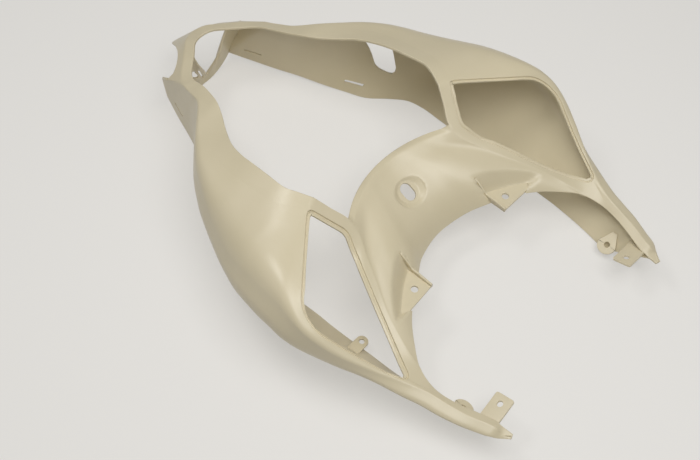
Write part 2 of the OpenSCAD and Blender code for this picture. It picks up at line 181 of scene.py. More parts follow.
def through(points, u, crisp=(), straight=()):
    """Cubic through the rows at running number u: each step leaves a row with half the
    step between that row's neighbours. Row -1 is row 1 mirrored, as at the centre."""
    padded = np.vstack([points[1] * FLIP, points, points[-1]])
    i = np.clip(np.floor(u).astype(int), 0, len(points) - 2)
    t = (u - i)[:, None]
    a, b, c, d = (padded[i + k] for k in range(4))
    a = np.where(np.isin(i, crisp)[:, None], 2 * b - c, a)
    d = np.where(np.isin(i + 1, crisp)[:, None], 2 * c - b, d)
    bent = 0.5 * (2 * b + (c - a) * t + (2 * a - 5 * b + 4 * c - d) * t ** 2
                  + (3 * b - a - 3 * c + d) * t ** 3)
    return np.where(np.isin(i, straight)[:, None], b + (c - b) * t, bent)


def mix(a, b, t):
    """The point a share t of the way from a to b."""
    return a + (b - a) * t


def lip_rows(k):
    """One lip line of the vent for every row. Away from the vent it runs at a share of
    the deck that eases towards the vent's corner with the power 1.4."""
    i = np.arange(len(ROWS))
    ease = np.minimum(1, np.maximum(0, FIRST_LIP - i) / 9) ** 1.4
    rear = (0.12 + 0.24 * ease, 0.19 + 0.49 * ease)[k]
    share = np.where(i > ARM, (0.5, 0.74)[k], rear)[:, None]
    line = mix(inner_row, fold_row, share)
    line[FIRST_LIP:ARM + 1] = VENT_LIPS[:, 3 * k:3 * k + 3]
    return line


lip_a, lip_b = lip_rows(0), lip_rows(1)
print("lip lines:", lip_a.shape, lip_b.shape)

# %% [markdown]
# ## The strip: deck, fold and flank
# Every section crosses the strip from the inner edge over the flat deck, round the soft
# fold and down the swelling flank. The fold is a quadratic curve that touches both sides
# at some distance from the sharp corner: broad along the flank, tight on the arm. There
# the flank swells just below the fold, so that the arm has a rounded shoulder. The
# wall's rim is rounded later, so the sheet stops one rim radius short of each edge.

# %% Stations along the horseshoe
RIM = 0.8
PER_ROW, PER_PANEL_ROW = 6, 10
TIP = LAST - 0.04
first_panel = PER_ROW * HORN
last_panel = first_panel + PER_PANEL_ROW * (ARM - HORN)
stations = np.concatenate([
    np.linspace(0, HORN, first_panel + 1),
    np.linspace(HORN, ARM, last_panel - first_panel + 1)[1:],
    np.linspace(ARM, TIP, PER_ROW * (LAST - ARM) + 1)[1:],
])
print(len(stations), "stations, the panel's between", first_panel, "and", last_panel)


# %% Curves across the strip
def steps(n, last=False):
    """n even shares from 0 up to 1, without the 1 unless it is the last stretch."""
    return np.linspace(0, 1, n + 1)[None, :n + last, None]


def bow(p, q, leave, arrive, t):
    """Cubic from p to q that starts along leave and ends along arrive."""
    return (p * (2 * t ** 3 - 3 * t ** 2 + 1) + q * (3 * t ** 2 - 2 * t ** 3)
            + leave * (t ** 3 - 2 * t ** 2 + t) + arrive * (t ** 3 - t ** 2))


def eased(u, rows, values):
    """Straight lines between the rows' values, averaged over one row, without kinks."""
    return np.mean([np.interp(u + k, rows, values) for k in np.linspace(-0.5, 0.5, 5)], axis=0)


print("softness half way along the strip:", eased(np.array([17.0]), [9, 21], [9, 22]).round(1))

# %% Deck, fold and flank of one side
SOFT_ROWS, FOLD_SOFT = [9, 13, 21, 24, 26, 28], [9, 22, 22, 15, 4.5, 2.6]
SHOULDER_ROWS, SHOULDER = [24, 27, 30, 31], [0.33, 0.12, 0.12, 0.25]
TIGHT, CORNER_PULL = 9, 0.25
ABOVE_FLOOR = 0.15


def half_strip(u):
    """Points over stations and lines: straight deck stretches, a quadratic fold, and
    three cubic stretches of flank through the two swollen points. Where the fold is
    softer than tight, its corner also moves outwards by a share of the difference."""
    on_arm = through(front_row, np.maximum(u - ARM, 0) + len(FRONT_EDGE))
    q0 = np.where(u[:, None] > ARM, on_arm, through(inner_row, u, crisp=(FIRST_LIP,)))
    ga = through(lip_a, u, crisp=(FIRST_LIP,))
    gb, q1 = through(lip_b, u), through(fold_row, u)
    q4 = through(lower_row, u, straight=(4, 5, 6, 7))
    q4[:, 2] = np.maximum(q4[:, 2], ABOVE_FLOOR)
    swell = eased(u, np.arange(len(ROWS)), swell_row)[:, None] * [0, 1, 0]
    high = eased(u, SHOULDER_ROWS, SHOULDER)[:, None]
    q2, q3 = mix(q1, q4, high) + swell, mix(q1, q4, 0.5 + high / 2) + (0.45 + high) * swell
    free = np.clip(np.maximum(HORN - u, u - ARM), 0, 1)[:, None]
    q0 = q0 + unit(ga - q0) * RIM * free
    q4 = q4 + unit(q3 - q4) * RIM
    soft = eased(u, SOFT_ROWS, FOLD_SOFT)
    soft = np.minimum(soft, 0.5 * np.linalg.norm(q1 - gb, axis=1))
    soft = np.minimum(soft, 0.6 * np.linalg.norm(q2 - q1, axis=1))[:, None]
    inwards = unit(gb - q1) + unit(q2 - q1)
    q1 = q1 - CORNER_PULL * np.maximum(soft - TIGHT, 0) * inwards
    ca, cb = q1 + unit(gb - q1) * soft, q1 + unit(q2 - q1) * soft
    q0, ga, gb, q1, q2, q3, q4, ca, cb = (
        p[:, None, :] for p in (q0, ga, gb, q1, q2, q3, q4, ca, cb))
    t = steps(8)
    down = (q2 - q1) * np.linalg.norm(q2 - cb, axis=2, keepdims=True) \
        / np.maximum(np.linalg.norm(q2 - q1, axis=2, keepdims=True), 1e-9)
    mid_a, mid_b = (q3 - q1) / 2, (q4 - q2) / 2
    return np.concatenate([
        mix(q0, ga, steps(5)), mix(ga, gb, steps(24)), mix(gb, ca, steps(5)),
        ca * (1 - t) ** 2 + 2 * q1 * t * (1 - t) + cb * t ** 2,
        bow(cb, q2, down, mid_a * 0.8, steps(4)), bow(q2, q3, mid_a, mid_b, steps(7)),
        bow(q3, q4, mid_b, q4 - q3, steps(7, last=True)),
    ], axis=1)


left_half = half_strip(stations)
middle = len(stations) - 1
print("half strip:", left_half.shape[:2], "points")

# %% [markdown]
# ## The saddle panel
# Between the arms lies a doubly curved panel with four curved borders. A Coons patch
# fills such a frame: it adds the two ruled surfaces between opposite borders and takes
# away the flat one through the corners. An extra rise gives the panel its crown, and
# the crease where panel and strip meet is eased away in front of the horn.

# %% Coons patch of the panel
REAR_X, REAR_Z, CROWN = 26.0, 98.0, 31.0
ACROSS = 100
border = left_half[first_panel:last_panel + 1, 0]
horn = border[0]
t_axis = np.linspace(-1, 1, ACROSS + 1)[None, :, None]
s_axis = np.linspace(0, 1, len(border))[:, None, None]


def rear_border(t):
    """Arc in plan through the centre point and both horns; its height rises as t squared."""
    run = horn[0] - REAR_X
    radius = (horn[1] ** 2 + run ** 2) / (2 * run)
    y = horn[1] * t
    x = REAR_X + radius - np.sqrt(radius ** 2 - y ** 2)
    return np.concatenate([x, y, mix(REAR_Z, horn[2], t ** 2)], axis=-1)


def front_border(t):
    """Smooth curve through the front edge's points, mirrored for negative t."""
    line = through(front_row, np.abs(t).ravel() * len(FRONT_EDGE))[None]
    return np.where(t < 0, line * FLIP, line)


def saddle_panel(s, t):
    """Coons patch over s (rear to front) and t (right to left) plus the crown, which is
    highest midway across and fades to nothing, with a gentle start, at the sides."""
    w = (t + 1) / 2
    left, right = border[:, None], border[:, None] * FLIP
    ruled = mix(rear_border(t), front_border(t), s) + mix(right, left, w)
    corners = mix(mix(right[:1], left[:1], w), mix(right[-1:], left[-1:], w), s)
    crown = CROWN * s ** 0.7 * (1 - s ** 4) * (1 - t ** 2) ** 1.1
    return ruled - corners + crown * [0, 0, 1]


panel = saddle_panel(s_axis, t_axis)
print("panel grid:", panel.shape[:2], "highest point in mm:", panel[..., 2].max().round(1))

# %% Ease the crease between strip and panel
SIDE_LINES, STRIP_LINES, ROUNDS = 10, 5, 40
EASE_FROM, EASE_FADE = HORN + 0.3, 1.2


def ease_border(strip_part, side):
    """Heights of the lines beside the border move again and again towards the straight
    line between their neighbours, most in the middle of the band and not at all at its
    sides, so that the two surfaces flow into each other. The pull fades to nothing at
    the horn and at the arm. side holds the panel's lines up to the border."""
    line = np.concatenate([side, strip_part[:, 1:STRIP_LINES + 1]], axis=1)
    step = np.linalg.norm(np.diff(line[..., :2], axis=1), axis=2)
    before, after = step[:, :-1], step[:, 1:]
    row = stations[first_panel:last_panel + 1, None]
    pull = 0.5 * np.clip(np.minimum(row - EASE_FROM, ARM - row) / EASE_FADE, 0, 1)
    pull = pull * np.sin(np.linspace(0, np.pi, line.shape[1]))[1:-1] ** 2
    z = line[..., 2]
    for _ in range(ROUNDS):
        level = (z[:, :-2] * after + z[:, 2:] * before) / (before + after)
        z[:, 1:-1] += pull * (level - z[:, 1:-1])
    return z


heights = ease_border(left_half[first_panel:last_panel + 1], panel[:, -SIDE_LINES - 1:])
panel[:, -SIDE_LINES - 1:, 2] = heights[:, :SIDE_LINES + 1]
panel[:, :SIDE_LINES + 1, 2] = heights[:, SIDE_LINES::-1]
left_half[first_panel:last_panel + 1, :STRIP_LINES + 1, 2] = heights[:, SIDE_LINES:]
strip = np.concatenate([left_half[:0:-1] * FLIP, left_half])
print("whole strip:", strip.shape[:2], "points")

# %% [markdown]
# The panel's rear border turns down in a narrow crescent band, and each saddle bracket
# sits in a scooped pocket: a flat floor, a wide cone behind it and a slanted plane on its
# outboard side. The pocket's height is the highest of the three, the panel's height the
# lower of panel and pocket, both blended over 2 mm as a moulding's inside corners are.

# %% Crescent band and bracket pockets
BAND_WIDTH, BAND_SLOPE = 8.5, 0.42
FLOOR_Z, POCKET_R, CONE_SLOPE, SIDE_Y = 60.0, 160.0, 0.68, 65.5
FAN_AT = np.array([274.0, 6.0])
POCKET_END, END_FACING = np.array([154.6, 112.6]), np.array([0.905, 0.426])
BLEND, BAND_BLEND = 2.0, 0.8


def lower_of(a, b, k):
    """Smooth minimum: where a and b differ by less than k, a parabola joins them."""
    h = np.clip(0.5 + 0.5 * (b - a) / k, 0, 1)
    return mix(b, a, h) - k * h * (1 - h)


def higher_of(a, b, k):
    """Smooth maximum, by the same parabola upside down."""
    return -lower_of(-a, -b, k)


def turn_band_down(p):
    """Within the band the height falls in step with the distance to the band's end. The
    fall fades out over the outermost columns, which end on the strip's edge."""
    away = np.linalg.norm(p - p[:1], axis=2)
    drop = higher_of((BAND_WIDTH - away) * BAND_SLOPE, np.zeros_like(away), BAND_BLEND)
    edge = np.clip((1 - np.abs(t_axis[..., 0])) * 12, 0, 1)
    return p - (drop * edge)[..., None] * [0, 0, 1]


def sink_pockets(p):
    """Smooth minimum of the panel and the pocket, outboard of the straight side. The
    cone rises with the distance from the fan's centre, the plane with the distance
    from the line through the pocket's outboard end."""
    flat = np.stack([p[..., 0], np.abs(p[..., 1])], -1)
    cone = FLOOR_Z + (np.linalg.norm(flat - FAN_AT, axis=-1) - POCKET_R) / CONE_SLOPE
    wall = FLOOR_Z + (flat - POCKET_END) @ END_FACING
    low = np.full_like(cone, FLOOR_Z - 0.05)
    pocket = higher_of(higher_of(cone, wall, BLEND), low, BLEND)
    sunk = np.where(flat[..., 1] > SIDE_Y - 1, lower_of(p[..., 2], pocket, BLEND), p[..., 2])
    return np.concatenate([p[..., :2], sunk[..., None]], axis=-1)


plain_panel = panel.copy()
panel = sink_pockets(turn_band_down(panel))
inset = np.clip((1 - np.abs(t_axis[0])) * 25, 0, 1) * RIM
panel[0] += unit(panel[1] - panel[0]) * inset
panel[-1] += unit(panel[-2] - panel[-1]) * inset
print("deepest pocket in mm:", (plain_panel - panel)[..., 2].max().round(1))

# %% [markdown]
# ## One welded sheet
# The strip and the panel share the strip's inner edge, so their grids are numbered as
# one list of points. Triangles run anticlockwise as seen from outside, which is what
# makes every face point outwards.

# %% Weld strip and panel
lines = strip.shape[1]
strip_id = np.arange(strip.shape[0] * lines).reshape(strip.shape[:2])
panel_id = strip_id.size + np.arange(panel[:, 1:-1, 0].size).reshape(len(panel), -1)
panel_id = np.column_stack([
    strip_id[middle - last_panel:middle - first_panel + 1, 0][::-1], panel_id,
    strip_id[middle + first_panel:middle + last_panel + 1, 0],
])


def triangles(grid):
    """Two triangles for each cell of a grid of point numbers."""
    a, b, c, d = grid[:-1, :-1], grid[1:, :-1], grid[1:, 1:], grid[:-1, 1:]
    return np.concatenate([np.stack([a, b, c], -1).reshape(-1, 3),
                           np.stack([a, c, d], -1).reshape(-1, 3)])


sheet = {
    "p": np.concatenate([strip.reshape(-1, 3), panel[:, 1:-1].reshape(-1, 3)]),
    "t": np.concatenate([triangles(strip_id), triangles(panel_id)]),
}
print("sheet:", len(sheet["p"]), "points,", len(sheet["t"]), "triangles")

# %% [markdown]
# ## Cutting openings into the sheet
# A Boolean would leave ragged slivers in such a thin wall. Instead each opening is an
# outline, the points closest to it are slid onto it, the triangles that it crosses are
# divided there, and what lies inside is dropped. The cut edge then follows the outline.

# %% Outlines and their distance
def rounded(corners, radii, n=12):
    """Closed outline with an arc in each corner. The arc's centre lies on the corner's
    bisector, at the radius divided by the sine of half the corner's angle."""
    corners = np.asarray(corners, float)
    to_last, to_next = unit(np.roll(corners, 1, 0) - corners), unit(np.roll(corners, -1, 0) - corners)
    half = np.arccos(np.clip((to_last * to_next).sum(1), -1, 1)) / 2
    radii = np.asarray(radii, float)[:, None]
    centre = corners + unit(to_last + to_next) * radii / np.sin(half)[:, None]
    facing = np.arctan2(*(-(to_last + to_next)).T[::-1])
    turn = np.sign(to_last[:, 0] * to_next[:, 1] - to_last[:, 1] * to_next[:, 0])
    sweep = (np.pi - 2 * half) * -turn
    angle = facing[:, None] + sweep[:, None] * np.linspace(-0.5, 0.5, n + 1)
    arc = centre[:, None] + radii[:, None] * np.stack([np.cos(angle), np.sin(angle)], -1)
    return arc.reshape(-1, 2)


def distance(points, outline):
    """Distance of each point to a closed outline, negative inside, and the nearest point."""
    a, b = outline, np.roll(outline, -1, 0)
    along = b - a
    rel = points[:, None] - a[None]
    t = np.clip((rel * along).sum(2) / np.maximum((along ** 2).sum(1), 1e-12), 0, 1)
    near = a + t[..., None] * along
    gap = np.linalg.norm(points[:, None] - near, axis=2)
    best = gap.argmin(1)
    row = np.arange(len(points))
    spans = (a[:, 1] > points[:, 1:]) != (b[:, 1] > points[:, 1:])
    slope = along[:, 0] / np.where(along[:, 1] == 0, 1e-12, along[:, 1])
    right = points[:, :1] < slope * (points[:, 1:] - a[:, 1]) + a[:, 0]
    inside = (spans & right).sum(1) % 2 == 1
    return gap[row, best] * np.where(inside, -1, 1), near[row, best]


def normals(p, t):
    """Sum of the cross products of the triangles round each point, made a unit."""
    face = np.cross(p[t[:, 1]] - p[t[:, 0]], p[t[:, 2]] - p[t[:, 0]])
    total = np.zeros_like(p)
    for k in range(3):
        for axis in range(3):
            total[:, axis] += np.bincount(t[:, k], face[:, axis], len(p))
    return unit(total)


print("outline helper ready:", rounded([(0, 0), (10, 0), (10, 5)], [1, 1, 1]).shape)


# %% Divide triangles along a line of zero distance
def divide(p, t, d):
    """Adds a point wherever an edge's two distances differ in sign, at the share
    d0 / (d0 - d1), and splits each triangle into the one, two or three parts that
    result. Edges with an undefined distance are left alone."""
    ends = np.stack([t, np.roll(t, -1, 1)], -1)
    with np.errstate(invalid="ignore"):
        crossed = d[ends[..., 0]] * d[ends[..., 1]] < 0
    low, high = ends.min(-1), ends.max(-1)
    keys, number = np.unique((low * len(p) + high)[crossed], return_inverse=True)
    a, b = keys // len(p), keys % len(p)
    share = (d[a] / (d[a] - d[b]))[:, None]
    made = np.full(t.shape, -1)
    made[crossed] = len(p) + number
    p = np.concatenate([p, mix(p[a], p[b], share)])
    d = np.concatenate([d, np.zeros(len(a))])
    count = crossed.sum(1)
    parts = [t[count == 0]]
    for k in range(3):
        turned, new, hit = (np.roll(x, -k, 1) for x in (t, made, crossed))
        one = (count == 1) & hit[:, 0]
        x, y, z, m = *turned[one].T, new[one, 0]
        parts += [np.stack([x, m, z], 1), np.stack([m, y, z], 1)]
        two = (count == 2) & hit[:, 0] & hit[:, 2]
        x, y, z, m, n = *turned[two].T, new[two, 0], new[two, 2]
        parts += [np.stack([x, m, n], 1), np.stack([m, y, z], 1), np.stack([m, z, n], 1)]
    return p, np.concatenate(parts), d


one_triangle = divide(np.eye(3), np.array([[0, 1, 2]]), np.array([-1.0, 1.0, 1.0]))
print("a triangle crossed by the line becomes", len(one_triangle[1]), "triangles")

# %% Cut an outline out of a sheet
SNAP = 0.3
X, Y, Z = np.eye(3)
PLAN, SIDE = (X, Y, Z), (X, Z, Y)


def slide(p, n, d, flat_move, axes, snap=SNAP):
    """Points closer than the snap distance go onto the outline, inside the surface:
    the move along the third axis keeps it at right angles to the normal."""
    near = np.abs(d) < snap
    move = flat_move[near, :1] * axes[0] + flat_move[near, 1:] * axes[1]
    rise = -(n[near] * move).sum(1) / (n[near] @ axes[2])
    p, d = p.copy(), d.copy()
    p[near] += move + rise[:, None] * axes[2]
    d[near] = 0
    return p, d


def tidy(p, t):
    """Drops the points that no triangle uses, and flat triangles."""
    t = t[(t[:, 0] != t[:, 1]) & (t[:, 1] != t[:, 2]) & (t[:, 2] != t[:, 0])]
    used, number = np.unique(t, return_inverse=True)
    return {"p": p[used], "t": number.reshape(t.shape)}


def cut_out(sheet, outline, axes, reach, origin=(0, 0, 0), grow=RIM):
    """Removes what lies inside the outline, grown by the rim radius, as seen along the
    third axis. reach says which points the cut may touch."""
    p, t = sheet["p"], sheet["t"]
    n = normals(p, t)
    flat = (p - origin) @ np.stack(axes[:2], 1)
    low, high = outline.min(0) - 12, outline.max(0) + 12
    near = reach(p, n) & ((flat > low) & (flat < high)).all(1)
    d, move = np.full(len(p), 50.0), np.zeros((len(p), 2))
    gap, nearest = distance(flat[near], outline)
    away = unit(flat[near] - nearest) * np.sign(gap)[:, None]
    d[near] = gap - grow
    move[near] = -away * d[near][:, None]
    p, d = slide(p, n, d, move, axes)
    p, t, d = divide(p, t, d)
    return tidy(p, t[d[t].sum(1) > 0])


print("cutting seen from above along", PLAN[2], "or from the side along", SIDE[2])

# %% [markdown]
# The vents are rounded four-sided holes in plan. The window and the thin strap slots
# pierce the flank, so they are drawn in the side view. The bracket plates replace the
# panel's floor inside each pocket, and the lock sits in a tilted round hole.

# %% Cut the openings
VENT_CORNERS = [(26.8, 114.3), (64.6, 92.6), (216.6, 162.8), (105.3, 208.9)]
VENT_RADII = [7, 13, 7, 37]
WINDOW = [(-124, 76), (-119, 67), (-103, 39.5), (-97, 35.5), (-84, 30.5),
          (-80, 31), (-80, 36), (-95, 70), (-102, 78), (-118, 80)]
WINDOW_RADII = [2, 8, 6, 5, 2, 2, 6, 8, 6, 3]
SLOTS = [(-241.0, 25.5, 0.0), (-116.5, 13.5, 2.7)]
SLOT_SIZE = (22.0, 2.2)
POCKET_FROM_X = 115
fan_turn = np.radians(np.linspace(158.0, 138.3, 40))
fan_arc = FAN_AT + (POCKET_R - 0.6) * np.stack([np.cos(fan_turn), np.sin(fan_turn)], 1)
POCKET_HOLE = np.vstack([fan_arc, [(161.0, 98.6), (178, 92), (178, SIDE_Y + 0.9)]])


def on_deck(side):
    """Points of one side whose normal looks up."""
    return lambda p, n: (p[:, 1] * side > 0) & (n[:, 2] > 0.35)


def on_flank(side):
    """Points of one side whose normal looks outwards."""
    return lambda p, n: (p[:, 1] * side > 0) & (n[:, 1] * side > 0.3) & (n[:, 2] < 0.75)


def in_pocket(side):
    """Points of one side that lie low and forward, from just inboard of the rib."""
    return lambda p, n: ((p[:, 1] * side > SIDE_Y - 5.5) & (p[:, 2] < FLOOR_Z + 10)
                         & (p[:, 0] > POCKET_FROM_X))


for side in (1, -1):
    mirror = np.array([1, side])
    vent = rounded(np.array(VENT_CORNERS) * mirror, VENT_RADII, 16)
    sheet = cut_out(sheet, vent, PLAN, on_deck(side))
    sheet = cut_out(sheet, rounded(WINDOW, WINDOW_RADII, 6), SIDE, on_flank(side))
    sheet = cut_out(sheet, POCKET_HOLE * mirror, PLAN, in_pocket(side), grow=0)
print("after the openings:", len(sheet["t"]), "triangles")

# %% Thin strap slots
def slot_out(sheet, at, side):
    """Divides the flank along the slot's four sides, then drops what is inside them."""
    angle = np.radians(at[2])
    axes = (np.array([np.cos(angle), 0, -np.sin(angle)]),
            np.array([np.sin(angle), 0, np.cos(angle)]), Y)
    half = np.array(SLOT_SIZE) / 2 + RIM
    p, t = sheet["p"], sheet["t"]
    origin = np.array([at[0], 0, at[1]])
    for axis in (0, 1):
        for end in (-1, 1):
            n = normals(p, t)
            flat = (p - origin) @ np.stack(axes[:2], 1)
            near = (np.abs(flat) < half + [9, 9]).all(1) & on_flank(side)(p, n)
            d = np.where(near, end * flat[:, axis] - half[axis], np.nan)
            move = np.zeros((len(p), 2))
            move[near, axis] = -end * d[near]
            p, d = slide(p, n, d, move, axes, 0.2)
            p, t, d = divide(p, t, d)
    centre = ((p[t].mean(1) - origin) @ np.stack(axes[:2], 1))
    facing = normals(p, t)[t[:, 0]]
    inside = (np.abs(centre) < half).all(1) & on_flank(side)(p[t].mean(1), facing)
    return tidy(p, t[~inside])


for side in (1, -1):
    for slot in SLOTS:
        sheet = slot_out(sheet, slot, side)
print("after the strap slots:", len(sheet["t"]), "triangles")

# %% [markdown]
# ## Lock dish
# The key's barrel sits in an oblong slot at the bottom of a shallow conical dish. A
# round hole is cut first; its edge points then become the outermost ring of a set of
# rings that run inwards over the lip, down the cone and across the floor to the slot.
# Because the first ring is shared, dish and panel are one surface with no seam.

# %% Lock dish and its slot
LOCK_AT = np.array([70.4, 0.0, 82.0])
LOCK_TILT = np.radians(27)
DISH_HOLE, DISH_DEPTH, DISH_FLOOR_R, DISH_CONE = 20.0, 2.6, 13.0, 1.5
DISH_RINGS = np.array([19.3, 18.6, 18.0, 17.5, 17.1, 16.7, 16.3, 15.5, 14.7, 14.1,
                       13.6, 13.2, 12.8, 12.3])
SLOT_HALF, SLOT_R = 3.5, 7.0
lock_axes = (np.array([np.cos(LOCK_TILT), 0, -np.sin(LOCK_TILT)]), Y,
             np.array([np.sin(LOCK_TILT), 0, np.cos(LOCK_TILT)]))
ring_turn = np.linspace(0, 2 * np.pi, 90, endpoint=False)
dish_circle = DISH_HOLE * np.stack([np.cos(ring_turn), np.sin(ring_turn)], 1)


def rim_edges(t):
    """Directed edges that only one triangle uses."""
    ends = np.stack([t, np.roll(t, -1, 1)], -1).reshape(-1, 2)
    n = t.max() + 1
    forward, backward = ends @ [n, 1], ends @ [1, n]
    return ends[~np.isin(forward, backward)]


def slot_reach(angle):
    """Distance from the centre to a capsule's edge in each direction: the flat side
    while that is met first, and otherwise the round end."""
    c, s = np.abs(np.cos(angle)), np.abs(np.sin(angle))
    radius = SLOT_R + RIM
    flat = radius / np.maximum(s, 1e-9)
    end = SLOT_HALF * c + np.sqrt(np.maximum(radius ** 2 - (SLOT_HALF * s) ** 2, 0))
    return np.where(flat * c <= SLOT_HALF, flat, end)


print("slot reach along and across in mm:", slot_reach(np.radians([0.0, 90.0])).round(1))


# %% Weld the lock dish into the panel
def weld_dish(sheet):
    """Rings inside the round hole, each at the lower of two heights, smoothly blended:
    the panel, which is made to fall as the radius squared, and the dish, a cone that
    flattens into its floor. The last ring is the slot's edge."""
    sheet = cut_out(sheet, dish_circle, lock_axes, lambda p, n: n[:, 2] > 0.5, LOCK_AT, grow=0)
    p, t = sheet["p"], sheet["t"]
    local = (p - LOCK_AT) @ np.stack(lock_axes, 1)
    loop = np.unique(rim_edges(t))
    radius = np.hypot(local[loop, 0], local[loop, 1])
    loop = loop[np.abs(radius - DISH_HOLE) < 0.4]
    angle = np.arctan2(local[loop, 1], local[loop, 0])
    loop, angle = loop[np.argsort(angle)], np.sort(angle)
    edge_height = local[loop, 2]
    slot_r = slot_reach(angle)
    r = np.concatenate([np.repeat(DISH_RINGS[:, None], len(loop), 1),
                        [mix(DISH_RINGS[-1], slot_r, 0.55), slot_r]])
    cone = (r - DISH_FLOOR_R) / DISH_CONE - DISH_DEPTH
    dish = higher_of(cone, np.full_like(r, -DISH_DEPTH), 0.8)
    height = lower_of(edge_height * (r / DISH_HOLE) ** 2, dish, 0.9)
    rings = (LOCK_AT + (r * np.cos(angle))[..., None] * lock_axes[0]
             + (r * np.sin(angle))[..., None] * lock_axes[1] + height[..., None] * lock_axes[2])
    ids = np.concatenate([loop[None], len(p) + np.arange(r.size).reshape(r.shape)])
    cells = triangles(np.column_stack([ids, ids[:, 0]]).T)
    return {"p": np.concatenate([p, rings.reshape(-1, 3)]), "t": np.concatenate([t, cells])}


sheet = weld_dish(sheet)
print("with the lock dish:", len(sheet["t"]), "triangles")

# %% [markdown]
# ## Wall and rims
# A moulding has a wall of even thickness and softly rounded rims. The sheet is copied
# 3 mm inwards along its normals, and every open edge gets a small profile that is
# carried along it. At the vents the profile is longer: it steps down behind a narrow
# groove and runs 5 mm into the opening as a flange for the mesh grille, but only 3 mm
# on the outboard side, where the opening reaches almost to the flank's wall.

# %% Rim profiles, as pairs of millimetres out of the sheet and down
WALL, FLANGE_W = 3.0, 5.0
ROUND_RIM = np.array([(0, 0), (0.31, 0.06), (0.57, 0.23), (0.74, 0.49), (0.8, 0.8),
                      (0.8, 2.2), (0.74, 2.51), (0.57, 2.77), (0.31, 2.94), (0, 3)])
VENT_RIM = np.array([
    (0, 0), (0.31, 0.06), (0.57, 0.23), (0.74, 0.49), (0.8, 0.8), (0.85, 2.0), (1.1, 2.4),
    (2.2, 2.4), (2.6, 1.8), (3.0, 1.55), (FLANGE_W + 0.1, 1.6), (FLANGE_W + 0.55, 1.8),
    (FLANGE_W + 0.8, 2.2), (FLANGE_W + 0.8, 3.4), (FLANGE_W + 0.55, 3.8),
    (FLANGE_W + 0.1, 3.9), (2.2, 3.9), (1.0, 3.6), (0, 3),
])
print("rim points:", len(ROUND_RIM), "plain,", len(VENT_RIM), "at a vent")


# %% Directions out of the sheet and where the rims are
def outward(p, n, edges, rounds):
    """For each rim point the direction that leaves the sheet: edge x normal, added up
    over the two edges, evened out along the rim and kept at right angles to n."""
    out = np.zeros_like(p)
    for step in range(rounds + 1):
        e = p[edges[:, 1]] - p[edges[:, 0]]
        side = np.cross(e, n[edges[:, 0]] + n[edges[:, 1]])
        if step:
            side = out[edges[:, 0]] + out[edges[:, 1]]
        total = np.zeros_like(p)
        for axis in range(3):
            for end in (0, 1):
                total[:, axis] += np.bincount(edges[:, end], side[:, axis], len(p))
        out = unit(total - (total * n).sum(1, keepdims=True) * n)
    return out


def at_vent(p, n):
    """Rim points that belong to a vent: near its outline in plan, on the upper side."""
    flat = np.stack([p[:, 0], np.abs(p[:, 1])], 1)
    gap, _ = distance(flat, rounded(VENT_CORNERS, VENT_RADII, 16))
    return (np.abs(gap - RIM) < 0.6) & (n[:, 2] > 0.35)


def anywhere(p, n):
    """Every rim point."""
    return np.ones(len(p), bool)


print("open edges of the sheet:", len(rim_edges(sheet["t"])))

# %% Give the sheet its wall
NARROW_FROM, OUTBOARD_SHARE = 2.4, 0.2


def thicken(sheet, wall, profiles):
    """Outer sheet, its copy moved inwards, and for each rim the profile's points, so far
    out of the sheet and so far down, joined in a band from outer to inner point. Where
    the rim faces inboard, what lies beyond the groove shrinks to the outboard share."""
    p, t = sheet["p"], sheet["t"]
    n = normals(p, t)
    edges = rim_edges(t)
    points, faces = [p, p - wall * n], [t, t[:, ::-1] + len(p)]
    count = 2 * len(p)
    left = np.ones(len(edges), bool)
    for chosen, profile, rounds in profiles:
        own = left & chosen(p[edges].mean(1), n[edges[:, 0]])
        left &= ~own
        mine = edges[own]
        ids, where = np.unique(mine, return_inverse=True)
        out = outward(p, n, mine, rounds)[ids]
        inner = profile[1:-1]
        shore = mix(1, OUTBOARD_SHARE, np.clip(-out[:, 1] * np.sign(p[ids][:, 1]), 0, 1))
        wide = inner[:, :1] - np.maximum(inner[:, :1] - NARROW_FROM, 0) * (1 - shore)
        rings = p[ids][None] + out[None] * wide[..., None] - n[ids][None] * inner[:, None, 1:]
        ring_id = count + np.arange(len(inner) * len(ids)).reshape(len(inner), -1)
        ring_id = np.concatenate([ids[None], ring_id, ids[None] + len(p)])
        ends = where.reshape(mine.shape)
        a, b = ring_id[:, ends[:, 0]], ring_id[:, ends[:, 1]]
        quads = np.stack([b[:-1], a[:-1], a[1:], b[1:]], -1).reshape(-1, 4)
        faces += [quads[:, [0, 1, 2]], quads[:, [0, 2, 3]]]
        points.append(rings.reshape(-1, 3))
        count += rings.size // 3
    return np.concatenate(points), np.concatenate(faces)


shell_p, shell_t = thicken(sheet, WALL, [(at_vent, VENT_RIM, 6), (anywhere, ROUND_RIM, 2)])
print("moulding:", len(shell_p), "points,", len(shell_t), "triangles")

# %% [markdown]
# ## The plastic
# ABS straight from the tool is a warm cream. Polished steel leaves it semi-glossy, so
# its highlights are soft but clear, and the melt's flow leaves a very slight
# waviness, a faint cloudiness of colour and a fine skin grain. That grain is about
# 0.1 mm on the real skin, too fine for this picture, so it is drawn at 0.9 mm.

# %% Helpers for materials
def linear(code):
    """sRGB hex colour to linear light: c / 12.92 below 0.04045, else a 2.4 power."""
    c = np.array([int(code[i:i + 2], 16) for i in (1, 3, 5)]) / 255
    c = np.where(c <= 0.04045, c / 12.92, ((c + 0.055) / 1.055) ** 2.4)
    return (*c, 1.0)


def node(tree, kind, settings=None, links=None, inputs=None):
    """Adds one node, sets its properties and input values, and links its inputs."""
    made = tree.nodes.new(kind)
    for name, value in (settings or {}).items():
        setattr(made, name, value)
    for name, value in (inputs or {}).items():
        made.inputs[name].default_value = value
    for name, source in (links or {}).items():
        tree.links.new(source, made.inputs[name])
    return made


